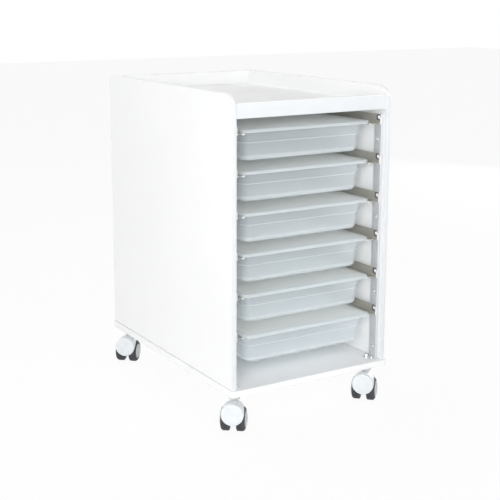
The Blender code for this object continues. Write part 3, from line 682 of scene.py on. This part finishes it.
def lidRings(wide, long, low, high):
    def ring(inset, height, more=0.0):
        return (wide - inset, long - inset - more, max(lid["corner"] - inset, lid["leastCorner"]), height)

    border, edge, skirt, soft = lid["border"], lid["edge"], lid["skirt"], lid["soft"]
    floor = high - lid["recess"]
    inner = border + lid["slope"]
    band, more = lid["bandSide"], lid["bandEnd"] - lid["bandSide"]
    drop = high - lid["bandDrop"]
    rings = [ring(inner + soft, floor), ring(inner, floor + lid["floorSoft"]),
             ring(border + soft, drop - lid["borderSoft"]), ring(border - soft, drop),
             ring(band + soft, drop, more), ring(band, high, more)]
    rings += [ring(edge * (1 - math.sin(turn)), high - edge * (1 - math.cos(turn)))
              for turn in arc(lid["edgeSteps"])]
    lineLow = low + lid["lineUp"]
    lineHigh = lineLow + lid["lineTall"]
    rings += [ring(0, lineHigh + lid["lineSlope"]), ring(lid["lineDeep"], lineHigh),
              ring(lid["lineDeep"], lineLow), ring(0, lineLow - lid["lineSlope"])]
    rings += [ring(0, low + lid["hemTall"]), ring(lid["hem"], low), ring(skirt - lid["hem"], low),
              ring(skirt, low + lid["hemTall"]), ring(skirt, high - lid["under"]),
              ring(border, high - lid["under"]), ring(inner, floor - lid["thick"])]
    return rings


# each point's share of the tray's height, which the tray's material reads
def markRise(bm, low, high):
    rise = bm.verts.layers.float.new("rise")
    for vert in bm.verts:
        vert[rise] = (vert.co.z - low.z) / (high.z - low.z)


def markBand(bm, half):
    for face in bm.faces:
        centre = face.calc_center_median()
        inBand = half.x - abs(centre.x) < lid["bandSide"] or half.y - abs(centre.y) < lid["bandEnd"]
        face.material_index = 1 if inBand else 0


for count in range(1, trayCount + 1):
    body = f"tray_{count}_with_lid"
    for node, ringsOf, materials, slot in ((f"tray_{count}", trayRings, (trayPlastic,), "tray_plastic"),
                                           (f"lid_{count}", lidRings, (lidPlastic, lidBand), "lid_plastic")):
        low, high = boxOf(node)
        half = (high - low) / 2
        bm = ringShape(ringsOf(half.x, half.y, low.z, high.z), tray["cornerSteps"])
        if ringsOf is trayRings:
            markRise(bm, low, high)
        else:
            markBand(bm, half)
        moved(bm, Matrix.Translation(((low.x + high.x) / 2, (low.y + high.y) / 2, 0)))
        addPiece(node + "_piece", bm, materials, body, node)
print("trays and lids made")


# casters; edges, grooves and outlines in their dictionaries are points for stepped, in mm
caster = {"trail": 18 * mm, "wheel": 27.25 * mm, "spacing": 16 * mm, "seat": 0.3 * mm, "steps": 64}
hood = {"radius": 25 * mm, "rise": 18.15 * mm, "rear": 8 * mm, "rearRadius": 17 * mm, "bulge": 2 * mm,
        "spread": 0.25, "rearEdge": ((4, 0), (1.2, 1), (0, 3)), "rearBelly": (1.1 * mm, 1.5 * mm),
        "faceBelly": (0.6 * mm, 0.78), "dish": 0.05 * mm, "well": 1.5 * mm, "wellDeep": 60 * mm,
        "wellClear": 0.5 * mm, "face": 2 * mm, "boss": 9 * mm, "bossRise": 4.5 * mm, "bossEdge": 0.7 * mm,
        "eye": 10 * mm, "eyeOut": 6 * mm, "eyeSteps": 48,
        "faceEdge": ((0, 2.6), (0.5, 1.5), (1.6, 0.5), (2.6, 0), (3.3, 0), (3.9, 0.45), (5.2, 0.3))}
joints = {joint["name"]: joint for joint in frame["joints"]}


def swivelMatrix(corner):
    pivot = Vector(joints[corner + "_swivel"]["pos_m"])
    axle = Vector(joints[corner + "_right_wheel_roll"]["axis"])
    return Matrix.Translation((pivot.x, pivot.y, 0)) @ Matrix.Rotation(math.atan2(axle.y, axle.x), 4, "Z")


# the hood's drum is turned about the rolling direction, spread at its rear and cut with the wheels' wells
def hoodMesh():
    radius, rear, back = hood["radius"], hood["rear"], hood["rearRadius"]
    rise = hood["rise"] + caster["wheel"]
    wellRadius = caster["wheel"] + hood["well"]
    face = caster["trail"] + wellRadius + hood["face"]
    middle = (back + radius) / 2 + hood["bulge"]
    rearOut, rearUp = hood["rearBelly"]
    faceOut, faceShare = hood["faceBelly"]
    outline = [(0, -rear)] + stepped(back, -rear, hood["rearEdge"])
    outline += [((back + middle) / 2 + rearOut, (face - rear) / 4 - rear / 2 + rearUp),
                (middle, (face - rear) / 2), ((middle + radius) / 2 + faceOut, (face - rear) * faceShare)]
    outline += stepped(radius, face, hood["faceEdge"], -1) + [(radius / 2, face - hood["dish"]), (0, face)]
    drum = turned(outline, caster["steps"])
    moved(drum, Matrix.Translation((0, 0, rise)) @ Matrix.Rotation(quarter, 4, "X"))
    for vert in drum.verts:
        vert.co.x *= 1 + hood["spread"] * (face + vert.co.y) / (face + rear)
    boss, bossEdge, bossTop = hood["boss"], hood["bossEdge"], rise + back + hood["bossRise"]
    bossShape = turned(((0, rise), (boss, rise), (boss, bossTop - bossEdge), (boss - bossEdge, bossTop),
                        (0, bossTop)), hood["eyeSteps"])
    axle = Matrix.Translation((0, -caster["trail"], caster["wheel"]))
    half = caster["spacing"] / 2 - hood["wellClear"]
    eye, eyeHalf = hood["eye"], half + hood["eyeOut"]
    eyeShape = turned(((0, -eyeHalf), (eye, -eyeHalf), (eye, eyeHalf), (0, eyeHalf)), hood["eyeSteps"])
    moved(eyeShape, axle @ Matrix.Rotation(quarter, 4, "Y"))
    tools = [("UNION", bossShape), ("UNION", eyeShape)]
    for side in sides.values():
        well = turned(((0, 0), (wellRadius, 0), (wellRadius, hood["wellDeep"]), (0, hood["wellDeep"])),
                      caster["steps"])
        turn = Matrix.Rotation(side * quarter, 4, "Y")
        tools.append(("DIFFERENCE", moved(well, axle @ Matrix.Translation((side * half, 0, 0)) @ turn)))
    return worked(drum, tools)


# a wheel's outline from its inner face outwards: tread with two grooves, side wall, groove, hub cap
wheel = {"wide": 19.5 * mm, "treadEdge": ((2.5, 0), (1.2, 0.5), (0.3, 1.6), (0, 3)), "grooves": (5.2, 8.6),
         "groove": ((0, 0), (0.5, 0.25), (0.5, 0.65), (0, 0.9)), "shoulder": 7 * mm, "shoulderSteps": 7,
         "cap": 18 * mm, "capGroove": ((-1.4, 0), (-1, 0.9), (-0.4, 0.9)), "capEdge": 0.3 * mm,
         "capDome": 3.5 * mm, "capSteps": 8}


def wheelShape():
    radius, wide, cap, shoulder = caster["wheel"], wheel["wide"], wheel["cap"], wheel["shoulder"]
    outline = [(0, 0)] + stepped(radius, 0, wheel["treadEdge"])
    for place in wheel["grooves"]:
        outline += stepped(radius, place * mm, wheel["groove"])
    outline += [(radius - shoulder * (1 - math.cos(turn)), wide - shoulder + shoulder * math.sin(turn))
                for turn in arc(wheel["shoulderSteps"])]
    outline += stepped(cap, wide, wheel["capGroove"], -1)
    outline += [(cap * math.cos(turn), wide + wheel["capDome"] * math.sin(turn))
                for turn in arc(wheel["capSteps"])]
    bm = turned(outline, caster["steps"])
    for face in bm.faces:
        centre = face.calc_center_median()
        inCap = centre.xy.length < cap + wheel["capEdge"] and centre.z > wide / 2
        face.material_index = 1 if inCap else 0
    return bm


# a stem with a neck under the base board, and a domed nut on top of it
stem = {"radius": 4 * mm, "neckLong": 16.5 * mm, "neckTop": 0.6 * mm, "steps": 48,
        "neck": ((1, 0), (0.3, 0.3), (0, 1), (0, 7), (0.5, 7.4), (0.5, 8.2), (0, 8.6))}
nut = {"brim": ((0.3, 0), (0, 0.4), (0.2, 1), (1.6, 1.4), (2, 1.8)), "domeIn": 2 * mm, "domeUp": 2.4 * mm,
       "domeSteps": 8, "steps": 40}
underside, baseTop = (point.z for point in boxOf("base_board"))


def stemShape(low, high):
    radius, neck = stem["radius"], (high.x - low.x) / 2
    neckHigh = underside - caster["seat"]
    neckLow = neckHigh - stem["neckLong"]
    outline = [(0, low.z), (radius, low.z), (radius, neckLow)] + stepped(neck, neckLow, stem["neck"])
    outline += [(neck, neckHigh - stem["neckTop"]), (neck - stem["neckTop"], neckHigh), (radius, neckHigh),
                (radius, high.z), (0, high.z)]
    return turned(outline, stem["steps"])


def nutShape(low, high):
    brim = (high.x - low.x) / 2
    seat = baseTop + caster["seat"]
    dome, domeLow = brim - nut["domeIn"], seat + nut["domeUp"]
    outline = [(0, seat)] + stepped(brim, seat, nut["brim"])
    outline += [(dome * math.cos(turn), domeLow + (high.z - domeLow) * math.sin(turn))
                for turn in arc(nut["domeSteps"])]
    return turned(outline, nut["steps"])


hoodShape = hoodMesh()
for corner in corners:
    swivel = swivelMatrix(corner)
    addPiece(corner + "_caster_hood_piece", fromMesh(hoodShape, swivel), (hoodWhite,), corner + "_caster",
             corner + "_caster_hood")
    for name, side in sides.items():
        place = Matrix.Translation((side * caster["spacing"] / 2, -caster["trail"], caster["wheel"]))
        bm = moved(wheelShape(), swivel @ place @ Matrix.Rotation(side * quarter, 4, "Y"))
        node = f"{corner}_{name}_wheel"
        addPiece(node + "_piece", bm, (tyreRubber, hubPlastic), node + "_body", node)
    axleMaterials = frame["nodes"][corner + "_axle"].data.materials
    axleMaterials.clear()
    axleMaterials.append(brightMetal)
    low, high = boxOf(corner + "_stem")
    place = Matrix.Translation(((low.x + high.x) / 2, (low.y + high.y) / 2, 0))
    bm = moved(stemShape(low, high), place)
    addPiece(corner + "_stem_piece", bm, (neckGrey,), "cabinet", corner + "_stem")
    bm = moved(nutShape(*boxOf(corner + "_stem_nut")), place)
    addPiece(corner + "_stem_nut_piece", bm, (brightMetal,), "cabinet", corner + "_stem_nut")
print("casters made")


# camera at the photograph's place
view = {"azimuth": -30.874, "elevation": 11.186, "eye": (-1.3513, -2.2201, 0.9573), "lens": 77.585,
        "sensor": 36, "shift": (0.03239, -0.09115)}
baseLow, baseHigh = boxOf("base_board")
cabinetMiddle = Vector(((baseLow.x + baseHigh.x) / 2, (baseLow.y + baseHigh.y) / 2, 0))
cameraLens = bpy.data.cameras.new("camera")
cameraLens.lens = view["lens"]
cameraLens.sensor_width = view["sensor"]
cameraLens.shift_x, cameraLens.shift_y = view["shift"]
camera = bpy.data.objects.new("camera", cameraLens)
camera.location = cabinetMiddle + Vector(view["eye"])
camera.rotation_euler = (math.radians(90 - view["elevation"]), 0, math.radians(view["azimuth"]))
bpy.context.collection.objects.link(camera)
bpy.context.scene.camera = camera

# floor, world and soft lamps, each lamp with its place, size and power
studio = {"floor": 12.0, "floorGrey": (0.9, 0.9, 0.9), "floorRough": 0.9, "floorWhite": 0.94,
          "white": (1, 1, 1), "world": 0.06, "aim": (0, 0, 0.4)}
lamps = {
    "keyLamp": ((-2.1, -2.7, 1.15), (2.0, 1.4), 72),
    "sideLamp": ((-3.0, 1.5, 0.8), (2.4, 1.6), 25),
    "fillLamp": ((0.9, -2.4, 1.6), (2.6, 2.0), 31),
    "backLamp": ((3.1, 1.5, 1.0), (2.2, 1.6), 38),
    "roofLamp": ((-0.5, 1.0, 2.7), (2.0, 1.8), 32),
}
# a white inside among clear trays passes the light on many times
bounces = {"max_bounces": 32, "diffuse_bounces": 24, "transparent_max_bounces": 256}
bm = bmesh.new()
bmesh.ops.create_grid(bm, x_segments=1, y_segments=1, size=studio["floor"])
floorMesh = bpy.data.meshes.new("floor")
bm.to_mesh(floorMesh)
bm.free()
floor = bpy.data.objects.new("floor", floorMesh)
bpy.context.collection.objects.link(floor)


# white to the eye and in mirrors, plain pale to the light
def seenWhite(tree, surface, white, share, output):
    start = Wire(tree)
    path = tree.nodes.new("ShaderNodeLightPath")
    eye, mirror, glass = (Wire(tree, path.outputs[name])
                          for name in ("Is Camera Ray", "Is Glossy Ray", "Is Transmission Ray"))
    seen = start.sum("MAXIMUM", eye, start.sum("MAXIMUM", mirror, glass))
    mix = start.make("ShaderNodeMixShader", {}, {0: seen * share, 1: surface, 2: white})
    tree.links.new(mix.socket, output.inputs["Surface"])


floorPale = bpy.data.materials.new("floorPale")
floorPale.use_nodes = True
floorMesh.materials.append(floorPale)
tree = floorPale.node_tree
shader = tree.nodes["Principled BSDF"]
shader.inputs["Base Color"].default_value = opaque(studio["floorGrey"])
shader.inputs["Roughness"].default_value = studio["floorRough"]
glow = {"Color": opaque(studio["white"]), "Strength": 1.0}
seenWhite(tree, Wire(tree, shader.outputs[0]), Wire(tree).make("ShaderNodeEmission", {}, glow),
          studio["floorWhite"], tree.nodes["Material Output"])

world = bpy.data.worlds.new("studio")
world.use_nodes = True
bpy.context.scene.world = world
tree = world.node_tree
background = tree.nodes["Background"]
background.inputs["Color"].default_value = opaque(studio["white"])
background.inputs["Strength"].default_value = studio["world"]
seenWhite(tree, Wire(tree, background.outputs[0]), Wire(tree).make("ShaderNodeBackground", {}, glow), 1.0,
          tree.nodes["World Output"])

for name, (spot, size, power) in lamps.items():
    lamp = bpy.data.lights.new(name, "AREA")
    lamp.shape = "RECTANGLE"
    lamp.size, lamp.size_y = size
    lamp.energy = power
    lampObject = bpy.data.objects.new(name, lamp)
    lampObject.location = spot
    lampObject.rotation_euler = (Vector(studio["aim"]) - Vector(spot)).to_track_quat("-Z", "Y").to_euler()
    bpy.context.collection.objects.link(lampObject)
bpy.context.scene.view_settings.view_transform = "Standard"
for limit, count in bounces.items():
    setattr(bpy.context.scene.cycles, limit, count)
print("studio made")
